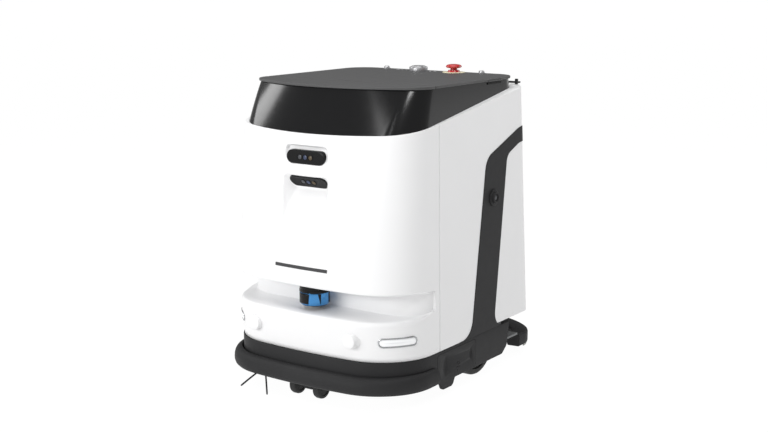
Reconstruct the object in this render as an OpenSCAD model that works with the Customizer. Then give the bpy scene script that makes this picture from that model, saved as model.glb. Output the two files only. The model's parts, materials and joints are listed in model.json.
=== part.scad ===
// Commercial robotic floor scrubber: white body on a dark base, with a glossy visor, a hinged
// lid, a front sensor slot, a side brush, a roller brush and a rear squeegee.

/* [Body] */
// Half width of the white body where it meets the dark base
body_half_w = 258; // [250:1:262]
// Inward lean of each side, over the body's height
side_lean = 7; // [0:1:12]
// Front centre of the cover under the slot, at its top edge
front_low_top = -300; // [-306:1:-296]
// Front centre of the cover where it meets the base
front_low_bottom = -286; // [-292:1:-282]
// Front centre of the upper cover at the slot
front_up_bottom = -287; // [-292:1:-282]
// Front centre of the upper cover at its top edge
front_up_top = -267; // [-272:1:-262]
// Rear face at the bottom of the rear cover
rear_bottom = 336; // [330:1:342]
// Rear face at the top of the body
rear_top = 302; // [298:1:306]
// Wall thickness of the covers
wall = 3; // [2:0.5:4]
// Seam between the front cover and the main cover
seam_y = -106; // [-110:1:-104]

/* [Base] */
// Bottom edge of the dark base
base_bottom = 33; // [30:1:36]
// Top edge of the dark base
base_top = 111; // [108:1:114]
// How far the bumper slides in when it is pushed
bumper_travel = 4; // [2:1:4]
// Diameter of the drive wheels
drive_wheel_d = 165; // [160:1:168]
// Diameter of the caster wheels
caster_wheel_d = 50; // [46:1:52]
// Outer diameter of the roller brush
roller_d = 90; // [84:1:92]
// Reach of the side brush bundles from their hub
brush_reach = 118; // [100:1:120]

/* [Sensor slot] */
// Underside of the slot
slot_bottom = 205; // [200:1:210]
// Top side of the slot
slot_top = 264; // [260:1:268]
// Diameter of the scanning sensor in the slot
scanner_d = 72; // [66:1:76]

/* [Top] */
// Height of the flat top
top_z = 720; // [716:1:724]
// Thickness of the top panels
panel_t = 6; // [6:0.5:8]
// Diameter of the emergency stop head
stop_d = 40; // [38:1:42]
// Travel of the emergency stop
stop_travel = 4; // [2:1:4]
// Outer diameter of the power button
power_d = 47; // [44:1:50]

/* [Squeegee] */
// How far the squeegee is lowered to work
squeegee_drop = 17; // [10:1:18]
// Height of the squeegee head
squeegee_h = 34; // [30:1:36]

/* [Hidden] */
$fn = 48;
// From the drawing's own origin to the frame's, which is under the middle of the machine
shift_y = -47;
gap = 0.5;
slice = 1;
corner_low = 140;
corner_slot = 125;
corner_top = 100;
front_bow_low = 1360;
front_bow_top = 620;
rear_corner = 45;
slot_wall_y = -200;
slot_end_y = -126;
slot_straight = 155;
slot_end_x = 251;
// The white body's top edge rises to the rear
rim_front_z = 613;
rim_front_y = -265;
rim_angle = atan(0.144);
visor_foot = 600;
visor_top = top_z - panel_t - gap;
drive_y = 98;
drive_x = 219;
drive_z = drive_wheel_d / 2;
roller_y = -72;
roller_z = 46.5;
brush_x = -160;
brush_y = -234;
caster_r = caster_wheel_d / 2;
front_stem_y = -241;
front_axle_y = -263;
front_wheel_x = 34;
rear_stem_x = 100;
rear_stem_y = 228;
rear_axle_y = 250;
deck_z = 60;
deck_t = 5;
door_y0 = -118;
door_y1 = 53;
stop_x = 70;
power_x = -36;
controls_y = 245;
hinge_z = top_z - panel_t / 2;
hinge_r = 1.5;

// ---------- shape functions ----------

function mix(a, b, t) = a + (b - a) * t;
function arc(cx, cy, r, a0, a1, n) =
    [for (i = [0:n]) let(t = mix(a0, a1, i / n)) [cx + r * cos(t), cy + r * sin(t)]];

// Right half of a plan outline: bowed front, round front corner, flat side, round rear corner
function half_plan(a, f, r, rc, rr, bow) =
    let(cx = a - rc, cy = f + bow - sqrt(pow(bow - rc, 2) - cx * cx), turn = asin(cx / (bow - rc)))
    concat(arc(0, f + bow, bow, -90, -90 + turn * 5 / 6, 5), arc(cx, cy, rc, turn - 90, 0, 9),
        arc(a - rr, r - rr, rr, 0, 90, 6));
function whole(h) = concat(h, [for (i = [len(h) - 1:-1:1]) [-h[i][0], h[i][1]]]);
function plan(a, f, r, rc, rr, bow, inset = 0) =
    whole(half_plan(a - inset, f + inset, r - inset, rc - inset, rr - inset, bow - inset));

// Corner of a polygon rounded to radius r, as points
function unit(v) = v / norm(v);
function round_corner(a, p, b, r, n) =
    let(u = unit(a - p), v = unit(b - p), half = acos(u * v) / 2, d = r / tan(half),
        c = p + unit(u + v) * r / sin(half), s = p + u * d - c, e = p + v * d - c, full = 180 - 2 * half)
    [for (i = [0:n]) let(t = i / n) c + (s * sin((1 - t) * full) + e * sin(t * full)) / sin(full)];
// Polygon from [x, y, corner radius] rows
function rounded(rows, n = 6) = [for (i = [0:len(rows) - 1])
    let(k = len(rows), q = rows[i], a = rows[(i + k - 1) % k], b = rows[(i + 1) % k],
        p = [q[0], q[1]], pa = [a[0], a[1]], pb = [b[0], b[1]])
    each (q[2] > 0 ? round_corner(pa, p, pb, q[2], n) : [p])];

// Body outline at height z
function half_at(z) = body_half_w - side_lean * (z - base_top) / 490;
function rear_at(z) = mix(rear_bottom, rear_top, (z - 130) / 558);
function front_at(z) = z <= slot_bottom
    ? mix(front_low_bottom, front_low_top, (z - base_top) / (slot_bottom - base_top))
    : z <= slot_top ? mix(front_low_top, front_up_bottom, (z - slot_bottom) / (slot_top - slot_bottom))
    : mix(front_up_bottom, front_up_top, (z - slot_top) / (rim_front_z - slot_top));
function corner_at(z) = z <= slot_bottom ? corner_low : z <= slot_top
    ? mix(corner_low, corner_slot, (z - slot_bottom) / (slot_top - slot_bottom))
    : mix(corner_slot, corner_top, min(1, (z - slot_top) / (rim_front_z - slot_top)));
function bow_at(z) = z <= slot_top ? front_bow_low
    : mix(front_bow_low, front_bow_top, min(1, (z - slot_top) / (rim_front_z - slot_top)));
function body_plan(z, inset = 0) =
    plan(half_at(z), front_at(z), rear_at(z), corner_at(z), rear_corner, bow_at(z), inset);
body_levels = [base_top, slot_bottom, slot_top, 440, rim_front_z, 700];

// Side profile of the dark strap, in y and z
strap_rows = [[-20, base_top, 0], [32.7, base_top, 48], [101.8, 533.5, 45], [262, 593.5, 0], [262, 556.5, 0],
    [199.6, 531.7, 30], [137.4, base_top, 35], [217, base_top, 0], [217, 100, 0], [-20, 100, 0]];
band_z0 = 556.5;
band_z1 = 593.5;

// ---------- building blocks ----------

module placed() translate([0, shift_y, 0]) children();
module mirrored() { children(); mirror([1, 0, 0]) children(); }
module along_x(x0, x1) translate([x0, 0, 0]) rotate([90, 0, 90]) linear_extrude(x1 - x0) children();
module block(lo, hi) translate(lo) cube(hi - lo);
module rod_x(x0, x1, y, z, r) translate([x0, y, z]) rotate([0, 90, 0]) cylinder(r = r, h = x1 - x0);
module rod_y(x, y0, y1, z, r) translate([x, y1, z]) rotate([90, 0, 0]) cylinder(r = r, h = y1 - y0);
module rod_z(x, y, z0, z1, r) translate([x, y, z0]) cylinder(r = r, h = z1 - z0);

module body_solid(inset) for (i = [0:len(body_levels) - 2]) hull() {
    translate([0, 0, body_levels[i]]) linear_extrude(slice) polygon(body_plan(body_levels[i], inset));
    translate([0, 0, body_levels[i + 1]]) linear_extrude(slice) polygon(body_plan(body_levels[i + 1], inset));
}
module body_shell() difference() {
    body_solid(0);
    translate([0, 0, -slice]) body_solid(wall);
    translate([0, 0, slice]) body_solid(wall);
}
module above_rim() translate([-400, rim_front_y, rim_front_z]) rotate([rim_angle, 0, 0])
    translate([0, -300, 0]) cube([800, 1200, 400]);
module below_base() block([-400, -400, 0], [400, 500, base_top + gap]);
module strap_slot() mirrored() along_x(200, 300) offset(delta = gap) polygon(rounded(strap_rows));
module band_slot() block([-400, 261.5, band_z0 - gap], [400, 500, band_z1 + gap]);
module rear_zone() along_x(-400, 400)
    polygon([[80, 90], [150, 520], [262, 575], [500, 575], [500, 90]]);
module slot_front() linear_extrude(slot_top - slot_bottom) polygon(concat([[-400, -400], [400, -400],
    [400, slot_end_y], [slot_end_x, slot_end_y]],
    [for (t = [0:15:90]) slot_edge(t)], [for (t = [90:-15:0]) [-slot_edge(t)[0], slot_edge(t)[1]]],
    [[-slot_end_x, slot_end_y], [-400, slot_end_y]]));
function slot_edge(t) = [slot_straight + (slot_end_x - 1 - slot_straight) * cos(t),
    slot_end_y + (slot_wall_y - slot_end_y) * sin(t)];
module pill(x, z, y0, y1, w, h) hull() for (s = [-1, 1])
    rod_y(x + s * (w - h) / 2, y0, y1, z, h / 2, $fn = 32);

// ---------- decks, frame and base ----------

module deck(y0, y1, inset = 9) intersection() {
    translate([0, 0, deck_z]) linear_extrude(deck_t) polygon(body_plan(base_top, inset));
    block([-400, y0, 0], [400, y1, 200]);
}
module front_deck() color([0.2, 0.2, 0.21]) placed() difference() {
    deck(-400, -124);
    rod_z(0, front_stem_y, 0, 200, 8.05);
    rod_z(brush_x, brush_y, 0, 200, 6);
}
module mid_deck() color([0.2, 0.2, 0.21]) placed() difference() {
    block([-185, -20, deck_z], [185, 190, deck_z + deck_t]);
    mirrored() block([115, 52, deck_z - 1], [190, 142, deck_z + deck_t + 1]);
}
module rear_deck() color([0.2, 0.2, 0.21]) placed() difference() {
    deck(190.5, 276);
    mirrored() rod_z(rear_stem_x, rear_stem_y, 0, 200, 8.05);
}
module inner_frame() color([0.45, 0.46, 0.48]) placed() {
    mirrored() for (y = [-140, 268]) block([180, y, deck_z + deck_t], [196, y + 16, 590]);
    for (y = [-140, 268]) block([-180, y, 574], [180, y + 16, 590]);
    mirrored() block([180, -124, 574], [196, 268, 590]);
}
module base_skirt() color([0.22, 0.22, 0.23]) placed() difference() {
    translate([0, 0, base_bottom]) linear_extrude(base_top - base_bottom)
        polygon(plan(body_half_w, front_low_bottom - 4, 300, corner_low, rear_corner, front_bow_low));
    translate([0, 0, base_bottom - 1]) linear_extrude(base_top - base_bottom + 2)
        polygon(plan(body_half_w, front_low_bottom - 4, 300, corner_low, rear_corner, front_bow_low, 5));
    mirrored() block([240, door_y0 - gap, base_bottom - 1], [280, door_y1 + gap, base_top - 6]);
    along_x(-300, 300) polygon([[180, 0], [183, 34], [197, 44], [205, 57], [217, 112], [400, 112], [400, 0]]);
    block([-72, -300, base_bottom - 1], [72, -240, 68]);
}
module leaned(side) translate([side * body_half_w, 0, base_top])
    rotate([0, -side * atan(side_lean / 490), 0]) translate([-side * body_half_w, 0, -base_top]) children();
module strap(side) placed() leaned(side) difference() {
        along_x(side > 0 ? 252 : -261, side > 0 ? 261 : -252) polygon(rounded(strap_rows));
        block([-300, -100, 0], [300, 300, base_top + gap]);
    }
module strap_left() color([0.22, 0.22, 0.23]) strap(-1);
module strap_right() color([0.22, 0.22, 0.23]) strap(1);
module rear_band() color([0.22, 0.22, 0.23]) placed() difference() {
    translate([0, 0, band_z0]) linear_extrude(band_z1 - band_z0) polygon(body_plan(575, -1.5));
    translate([0, 0, band_z0 - 1]) linear_extrude(band_z1 - band_z0 + 2) polygon(body_plan(575, 6));
    block([-400, -400, 500], [400, 263, 650]);
}

// ---------- white covers ----------

// Recess in which the upper camera pod sits, and the sloping pocket of the lower one
module camera_recess() {
    pill(0, 562, -300, -261, 124, 46);
    hull() {
        block([-62, -320, 470], [62, -247, 520]);
        block([-66, -320, 396], [66, -281, 400]);
    }
}
module front_cover() color([0.95, 0.95, 0.95]) placed() difference() {
    union() {
        body_shell();
        intersection() {
            body_solid(1);
            block([-80, -300, 385], [80, -240, 600]);
        }
    }
    camera_recess();
    pill(0, 560, -300, -200, 108, 33);
    pill(0, 499, -300, -200, 108, 33);
    block([-400, seam_y - gap, 0], [400, 500, 900]);
    translate([0, 0, slot_bottom]) slot_front();
    above_rim();
    below_base();
}
module slot_liner() color([0.93, 0.93, 0.93]) placed() difference() {
    translate([0, 0, slot_bottom - wall]) linear_extrude(slot_top - slot_bottom + 2 * wall)
        polygon(body_plan(230, wall + 12));
    translate([0, 0, slot_bottom]) slot_front();
    linear_extrude(400) offset(delta = wall) polygon([[-240, -115], [-150, -190], [150, -190], [240, -115],
        [240, 400], [-240, 400]]);
    rod_z(0, front_stem_y, slot_top - 1, slot_top + 10, 14);
}
module main_cover() color([0.94, 0.94, 0.94]) placed() difference() {
    body_shell();
    block([-400, -400, 0], [400, seam_y + gap, 900]);
    rear_zone();
    strap_slot();
    band_slot();
    above_rim();
    below_base();
}
module rear_cover() color([0.92, 0.92, 0.92]) placed() difference() {
    intersection() {
        body_shell();
        rear_zone();
    }
    strap_slot();
    band_slot();
    below_base();
    block([-71, 300, 150], [71, 400, 232]);
}

// ---------- visor and top ----------

function visor_plan(z, inset = 0) = let(t = (z - rim_front_z) / (visor_top - rim_front_z))
    plan(mix(246.5, 238, t), mix(-261.5, -222, t), mix(276, 268, t), mix(97, 66, t), 58,
        mix(600, 430, t), inset);
visor_levels = [visor_foot, 630, 660, 690, visor_top - slice];
module visor_solid(inset) for (i = [0:len(visor_levels) - 2]) hull() {
    translate([0, 0, visor_levels[i]]) linear_extrude(slice) polygon(visor_plan(visor_levels[i], inset));
    translate([0, 0, visor_levels[i + 1]]) linear_extrude(slice)
        polygon(visor_plan(visor_levels[i + 1], inset));
}
module visor() color([0.03, 0.03, 0.035]) placed() difference() {
    visor_solid(0);
    translate([0, 0, -slice]) visor_solid(wall);
    translate([0, 0, slice]) visor_solid(wall);
    translate([-400, rim_front_y, rim_front_z - 5]) rotate([rim_angle, 0, 0])
        translate([0, -300, -400]) cube([800, 1200, 400]);
}
top_plan = plan(242, -227, 272, 66, 60, 430);
module panel() translate([0, 0, top_z - panel_t]) linear_extrude(panel_t) polygon(top_plan);
module top_front_panel() color([0.23, 0.23, 0.24]) placed() difference() {
    union() {
        intersection() {
            panel();
            block([-400, -400, 0], [400, seam_y - 3.4, 900]);
        }
        mirrored() block([232.5, seam_y - 3.5, top_z - panel_t], [239, seam_y + 3, top_z]);
    }
    rod_x(-300, 300, seam_y, hinge_z, hinge_r);
}
module lid_hinge_pins() color([0.7, 0.7, 0.72]) placed() mirrored() rod_x(222, 238, seam_y, hinge_z, hinge_r);
module top_lid() color([0.23, 0.23, 0.24]) placed() difference() {
    union() {
        intersection() {
            panel();
            block([-400, seam_y + 4.5, 0], [400, 500, 900]);
        }
        block([-232, seam_y, top_z - panel_t], [232, seam_y + 5, top_z]);
        rod_x(-232, 232, seam_y, hinge_z, panel_t / 2);
    }
    rod_x(-300, 300, seam_y, hinge_z, hinge_r + 0.05);
    rod_z(stop_x, controls_y, 700, 800, 9);
    rod_z(power_x, controls_y, 700, 800, 9);
    block([232, 123, top_z - panel_t - 1], [260, 186, top_z - 2.5]);
}
module stop_collar() color([0.85, 0.8, 0.45]) placed() difference() {
    union() {
        rod_z(stop_x, controls_y, top_z, top_z + 1.5, 29);
        rod_z(stop_x, controls_y, top_z + 1.5, top_z + 6, 16.5);
    }
    rod_z(stop_x, controls_y, 700, 800, 8.05);
}
module stop_button() color([0.8, 0.08, 0.06]) placed() translate([stop_x, controls_y, 0]) {
    translate([0, 0, top_z - 4]) cylinder(r = 8, h = 19);
    translate([0, 0, top_z + 7 + stop_travel]) {
        cylinder(r1 = stop_d / 2 - 2, r2 = stop_d / 2, h = 2);
        translate([0, 0, 2]) cylinder(r = stop_d / 2, h = 4);
        translate([0, 0, 6]) cylinder(r1 = stop_d / 2, r2 = stop_d / 2 - 6, h = 4);
    }
}
module power_bezel() color([0.6, 0.6, 0.62]) placed() difference() {
    rod_z(power_x, controls_y, top_z, top_z + 10, power_d / 2);
    rod_z(power_x, controls_y, top_z + 1.5, top_z + 30, power_d / 2 - 4.5);
    rod_z(power_x, controls_y, 700, 800, 8.05);
}
module power_button() color([0.72, 0.72, 0.74]) placed() translate([power_x, controls_y, 0]) {
    translate([0, 0, top_z - 4]) cylinder(r = 8, h = 10);
    translate([0, 0, top_z + 4.5]) cylinder(r = power_d / 2 - 5, h = 8.5);
}
module lid_caps() color([0.9, 0.9, 0.9]) placed() mirrored() rod_z(143, 258, top_z, top_z + 8, 8);

// ---------- cameras, scanner, sensors and lights ----------

module camera_pod_upper() color([0.05, 0.05, 0.055]) placed() pill(0, 560, -270, -226, 107, 32);
module camera_pod_lower() color([0.05, 0.05, 0.055]) placed() pill(0, 499, -262, -226, 107, 32);
module camera_lenses() color([0.35, 0.38, 0.42]) placed() for (x = [-15, 0, 15]) {
    rod_y(x, -272, -270.2, 560, 5);
    rod_y(x, -264, -262.2, 499, 5);
}
module scanner_mount() color([0.06, 0.06, 0.07]) placed() {
    rod_z(0, front_stem_y, 247, slot_top, scanner_d / 2);
    rod_z(0, front_stem_y, slot_top, 285, 13);
}
module scanner_ring() color([0.35, 0.7, 0.95]) placed() difference() {
    rod_z(0, front_stem_y, 214, 247, scanner_d / 2 - 0.5);
    rod_z(0, front_stem_y, 205, 242, scanner_d / 2 - 4);
}
module scanner_rotor() color([0.1, 0.1, 0.12]) placed() rod_z(0, front_stem_y, 216, 241, scanner_d / 2 - 6);
// Body below the slot, grown by a margin, which the knobs and lights stand on
module low_body(grow) hull() {
    translate([0, 0, base_top]) linear_extrude(slice) polygon(body_plan(base_top, -grow));
    translate([0, 0, slot_bottom]) linear_extrude(slice) polygon(body_plan(slot_bottom, -grow));
}
module front_knobs() color([0.93, 0.93, 0.93]) placed() mirrored() difference() {
    rod_y(138, -300, -284.5, 160, 16.5);
    low_body(0);
}
module light_strip(lo, hi, stand) difference() {
    intersection() {
        low_body(stand);
        mirrored() block([192, -262, lo], [300, -188, hi]);
    }
    low_body(0.3);
}
module light_bezels() color([0.8, 0.8, 0.82]) placed() difference() {
    light_strip(147, 169, 3.5);
    block([-400, -256, 152], [400, -194, 164]);
}
module light_lenses() color([0.97, 0.97, 0.97]) placed() intersection() {
    light_strip(152.2, 163.8, 2.5);
    block([-400, -255.8, 152], [400, -194.2, 164]);
}
module side_sensors() color([0.2, 0.2, 0.21]) placed() mirrored() difference() {
    union() {
        rod_x(256.8, 262, 133, 436, 20);
        rod_x(262, 266, 133, 436, 13.5);
    }
    rod_x(263, 270, 133, 436, 10);
}
module push_handle() color([0.1, 0.1, 0.11]) placed() {
    mirrored() block([220, 290, 695], [226, 296, 708]);
    block([-226, 294, 697], [226, 308, 701]);
    mirrored() block([90, 294, 660], [104, 298, 697]);
}
module charge_plate() color([0.15, 0.15, 0.16]) placed() difference() {
    block([-70, 322, 151], [70, 337, 231]);
    mirrored() block([18, 334, 176], [34, 340, 206]);
}
module charge_contacts() color([0.8, 0.65, 0.35]) placed() mirrored() block([18, 334, 176], [34, 336.5, 206]);
module cover_screws() color([0.6, 0.6, 0.62]) placed() mirrored() for (y = [-150, 230])
    rod_z(150, y, deck_z + deck_t, deck_z + deck_t + 4, 5);

// ---------- inside ----------

module battery() color([0.25, 0.28, 0.32]) placed() block([-150, -160, 115], [150, 20, 200]);
module clean_tank() color([0.75, 0.82, 0.88]) placed() block([-160, -110, 300], [160, 70, 560]);
module recovery_tank() color([0.6, 0.65, 0.7]) placed() block([-160, 80, 300], [160, 255, 560]);
module suction_housing() color([0.3, 0.3, 0.32]) placed() difference() {
    rod_z(0, 170, deck_z + deck_t, 240, 75);
    rod_z(0, 170, 150, 230, 68);
}
module suction_fan() color([0.5, 0.5, 0.52]) placed() {
    rod_z(0, 170, 160, 200, 18);
    for (a = [0:45:315]) translate([0, 170, 160]) rotate([0, 0, a])
        translate([15, -1.5, 0]) cube([45, 3, 30]);
}
module controller_box() color([0.2, 0.35, 0.25]) placed() block([-110, -100, 210], [110, 60, 285]);
module brush_housing() color([0.2, 0.2, 0.21]) placed() difference() {
    rod_x(-215, 215, roller_y, roller_z, roller_d / 2 + 7);
    rod_x(-209, 209, roller_y, roller_z, roller_d / 2 + 3);
    block([-300, roller_y - 80, -20], [300, roller_y + 80, 30]);
    rod_x(-300, 300, roller_y, roller_z, 6.05);
}
module side_brush_motor() color([0.3, 0.3, 0.32]) placed() rod_z(brush_x, brush_y, deck_z + deck_t, 105, 26);

// ---------- moving parts ----------

// Strip with rounded upper and lower edges, open to the rear
bumper_rows = [[38, 79, 5], [41, 76, 1.5], [45, 72, 0]];
module bumper_bar() for (row = bumper_rows)
    translate([0, 0, row[0]]) linear_extrude(row[1] - row[0])
        polygon(plan(270, -317, 300, corner_low + 8, rear_corner, front_bow_low, row[2]));
module bumper() color([0.2, 0.2, 0.21]) placed() difference() {
    bumper_bar();
    translate([0, 0, 20]) linear_extrude(80)
        polygon(plan(260.5, -303 - bumper_travel, 300, corner_low, rear_corner, front_bow_low));
    block([-400, door_y0 - 3, 0], [400, 500, 200]);
}
door_rows = [[door_y0, base_bottom, 8], [door_y0 + 18, base_bottom, 0], [-98, 15, 8], [-46, 15, 8],
    [-40, base_bottom, 0], [door_y1, base_bottom, 10],
    [door_y1, base_top - 7, 10], [door_y0, base_top - 7, 10]];
module door(side) placed() mirror([side < 0 ? 1 : 0, 0, 0]) difference() {
    along_x(251.5, 258) polygon(rounded(door_rows));
    along_x(255, 270) translate([-84, 70]) scale([1, 2]) circle(r = 11);
    along_x(255, 270) translate([30, 74]) circle(r = 9);
}
module door_left() color([0.2, 0.2, 0.21]) door(-1);
module door_right() color([0.2, 0.2, 0.21]) door(1);

module drive_unit(side) placed() mirror([side < 0 ? 1 : 0, 0, 0]) difference() {
    union() {
        rod_x(120, 190, drive_y, drive_z, 34);
        rod_x(190, 199, drive_y, drive_z, 40);
        block([170, drive_y + 30, drive_z - 14], [190, 184, drive_z + 8]);
    }
    block([100, 0, 0], [200, 189, 20]);
    rod_x(100, 240, drive_y, drive_z, 8.05);
}
module drive_unit_left() color([0.3, 0.3, 0.32]) drive_unit(-1);
module drive_unit_right() color([0.3, 0.3, 0.32]) drive_unit(1);
module drive_wheel(side) placed() mirror([side < 0 ? 1 : 0, 0, 0]) {
    difference() {
        rod_x(drive_x - 18, drive_x + 18, drive_y, drive_z, drive_wheel_d / 2);
        rod_x(drive_x + 10, drive_x + 20, drive_y, drive_z, drive_wheel_d / 2 - 14);
    }
    rod_x(130, drive_x - 17, drive_y, drive_z, 8);
    rod_x(drive_x + 9, drive_x + 15, drive_y, drive_z, 22);
}
module drive_wheel_left() color([0.15, 0.15, 0.15]) drive_wheel(-1);
module drive_wheel_right() color([0.15, 0.15, 0.15]) drive_wheel(1);

// Swivel fork with a stem, a bridge and an axle for caster wheels
module front_caster_fork() color([0.15, 0.15, 0.16]) placed() {
    rod_z(0, front_stem_y, 40, deck_z + deck_t, 8);
    block([-12, front_axle_y - 10, 34], [12, front_stem_y + 12, 53]);
    block([-12, front_axle_y - 8, 18], [12, front_axle_y + 8, 36]);
    rod_x(-front_wheel_x - 9, front_wheel_x + 9, front_axle_y, caster_r, 4);
}
module front_caster_wheels() color([0.12, 0.12, 0.12]) placed() difference() {
    mirrored() rod_x(front_wheel_x - 9, front_wheel_x + 9, front_axle_y, caster_r, caster_r);
    rod_x(-60, 60, front_axle_y, caster_r, 4.05);
}
module rear_fork(side) placed() translate([side * rear_stem_x, 0, 0]) {
    rod_z(0, rear_stem_y, 52, deck_z + deck_t, 8);
    block([-17, rear_stem_y - 12, 51], [17, rear_axle_y + 6, 55]);
    mirrored() block([13, rear_axle_y - 8, caster_r - 7], [17, rear_axle_y + 6, 52]);
    rod_x(-15, 15, rear_axle_y, caster_r, 4);
}
module rear_caster_fork_left() color([0.15, 0.15, 0.16]) rear_fork(-1);
module rear_caster_fork_right() color([0.15, 0.15, 0.16]) rear_fork(1);
module rear_wheel(side) placed() translate([side * rear_stem_x, 0, 0]) difference() {
    rod_x(-11, 11, rear_axle_y, caster_r, caster_r);
    rod_x(-60, 60, rear_axle_y, caster_r, 4.05);
}
module rear_caster_wheel_left() color([0.12, 0.12, 0.12]) rear_wheel(-1);
module rear_caster_wheel_right() color([0.12, 0.12, 0.12]) rear_wheel(1);

// Hub on the motor's shaft, with sockets for two pairs of stiff bundles
module side_brush_hub() color([0.1, 0.1, 0.1]) placed() translate([brush_x, brush_y, 0]) {
    cylinder(r = 5.9, h = deck_z + deck_t);
    translate([0, 0, 24]) cylinder(r = 24, h = 16);
}
// Row: angle about the hub, and height of the tip over the floor
bundle_rows = [[-78, 22], [-48, 3.5], [102, 22], [132, 3.5]];
bundle_root = [24.6, 31];
module side_brush_bundles() color([0.08, 0.08, 0.08]) placed() translate([brush_x, brush_y, 0])
    for (row = bundle_rows) rotate([0, 0, row[0]]) translate([bundle_root[0], 0, bundle_root[1]])
        rotate([0, 90 + atan((bundle_root[1] - row[1]) / (brush_reach - bundle_root[0])), 0])
            cylinder(r = 2.5, h = norm([brush_reach - bundle_root[0], bundle_root[1] - row[1]]), $fn = 16);

module roller_brush() color([0.25, 0.3, 0.35]) placed() {
    rod_x(-214, 214, roller_y, roller_z, 6);
    rod_x(-205, 205, roller_y, roller_z, 32);
    for (a = [0:30:330]) translate([0, roller_y, roller_z]) rotate([a, 0, 0])
        translate([-204, -4, 30]) cube([408, 8, roller_d / 2 - 30]);
}

squeegee_z = squeegee_drop + 7;
function bow_edge(cx, cy, rx, ry) = [for (t = [0:7.5:180]) [cx + rx * cos(t), cy + ry * sin(t)]];
module squeegee() color([0.15, 0.15, 0.16]) placed() {
    difference() {
        translate([0, 0, squeegee_z]) linear_extrude(squeegee_h)
            polygon(concat([[248, 283]], bow_edge(0, 318, 248, 122), [[-248, 283]]));
        translate([0, 0, squeegee_z - 1]) linear_extrude(squeegee_h + 2)
            polygon(concat([[213, 250]], bow_edge(0, 290, 213, 112), [[-213, 250]]));
    }
    mirrored() block([118, 290, squeegee_z + 10], [134, 388, squeegee_z + 26]);
    mirrored() block([118, 282, squeegee_z + 10], [134, 298, 104]);
    difference() {
        translate([0, 0, squeegee_z - 5]) linear_extrude(8) polygon(bow_edge(0, 318, 245, 119));
        translate([0, 0, squeegee_z - 6]) linear_extrude(10) polygon(bow_edge(0, 318, 241, 115));
        block([-400, 200, 0], [400, 318, 60]);
    }
}

front_deck();
mid_deck();
rear_deck();
inner_frame();
base_skirt();
strap_left();
strap_right();
rear_band();
front_cover();
slot_liner();
main_cover();
rear_cover();
visor();
top_front_panel();
lid_hinge_pins();
camera_pod_upper();
camera_pod_lower();
camera_lenses();
scanner_mount();
scanner_ring();
front_knobs();
light_bezels();
light_lenses();
side_sensors();
push_handle();
charge_plate();
charge_contacts();
battery();
clean_tank();
recovery_tank();
suction_housing();
controller_box();
brush_housing();
side_brush_motor();
cover_screws();
scanner_rotor();
suction_fan();
bumper();
door_left();
door_right();
top_lid();
stop_collar();
power_bezel();
lid_caps();
stop_button();
power_button();
drive_unit_left();
drive_unit_right();
drive_wheel_left();
drive_wheel_right();
front_caster_fork();
front_caster_wheels();
rear_caster_fork_left();
rear_caster_fork_right();
rear_caster_wheel_left();
rear_caster_wheel_right();
side_brush_hub();
side_brush_bundles();
roller_brush();
squeegee();
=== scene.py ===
"""Looks of the floor scrubbing robot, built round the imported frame.

Sizes are in millimetres until to_mesh().
"""
import json
import math
import random

import bmesh
import bpy
import numpy as np
from mathutils import Matrix, Vector


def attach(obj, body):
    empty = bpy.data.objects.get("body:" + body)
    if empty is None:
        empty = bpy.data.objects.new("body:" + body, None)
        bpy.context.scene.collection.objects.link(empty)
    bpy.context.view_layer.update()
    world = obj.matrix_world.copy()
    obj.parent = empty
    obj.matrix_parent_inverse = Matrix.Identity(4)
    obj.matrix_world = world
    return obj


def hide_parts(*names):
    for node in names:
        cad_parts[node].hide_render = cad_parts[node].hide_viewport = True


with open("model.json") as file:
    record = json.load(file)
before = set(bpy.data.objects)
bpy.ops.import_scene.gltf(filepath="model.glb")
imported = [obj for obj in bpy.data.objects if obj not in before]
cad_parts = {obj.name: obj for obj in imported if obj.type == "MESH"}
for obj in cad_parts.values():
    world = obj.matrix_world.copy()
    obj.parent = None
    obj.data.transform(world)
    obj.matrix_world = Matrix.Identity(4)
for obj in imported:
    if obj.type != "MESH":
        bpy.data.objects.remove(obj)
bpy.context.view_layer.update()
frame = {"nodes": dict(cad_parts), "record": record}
NODES = frame["nodes"]
MM = 0.001
rng = random.Random(7)

# ---------------------------------------------------------------- dimensions
SHIFT_Y = -47.0            # model axis to the frame's origin, as in the CAD
BODY_HALF, SIDE_LEAN = 258.0, 7.0
BASE_TOP, BASE_BOTTOM = 111.0, 33.0
LOW_TOP, LOW_BOTTOM, UP_BOTTOM, UP_TOP = -300.0, -286.0, -287.0, -267.0
REAR_BOTTOM, REAR_TOP = 336.0, 302.0
SLOT_Z0, SLOT_Z1 = 205.0, 264.0
RIM_Z, RIM_Y, RIM_SLOPE = 613.0, -265.0, 0.144
SEAM_Y, SLOT_END_Y = -106.0, -126.0
REAR_R = 45.0
TOP_Z, PANEL_T = 720.0, 6.0
VISOR_TOP = TOP_Z - PANEL_T - 0.5
WALL = 3.0
LOW_BOW = 1360.0           # radius of the front below the slot
SPAN = 400.0               # past the model on either side, for cutters
SCANNER_Y = -241.0
DRIVE_Y, DRIVE_X, DRIVE_R = 98.0, 219.0, 82.5
STOP_X, POWER_X, CONTROLS_Y = 70.0, -36.0, 245.0
KNOB_X, KNOB_Z = 138.0, 160.0
BRUSH_X, BRUSH_Y, BRUSH_REACH = -160.0, -234.0, 118.0
ROLLER_Y, ROLLER_Z, ROLLER_R = -72.0, 46.5, 45.0
BUMPER_HALF, BUMPER_FRONT = 270.0, -317.0
DOOR_FACE = 258.2
SENSOR_AT = (256.8, 133, 436)
CASTER_R = 25.0


def lerp(a, b, t):
    """Value between a and b at share t."""
    return a + (b - a) * t


def smooth(t):
    """Eased share from 0 to 1."""
    t = np.clip(t, 0, 1)
    return t * t * (3 - 2 * t)


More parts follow.
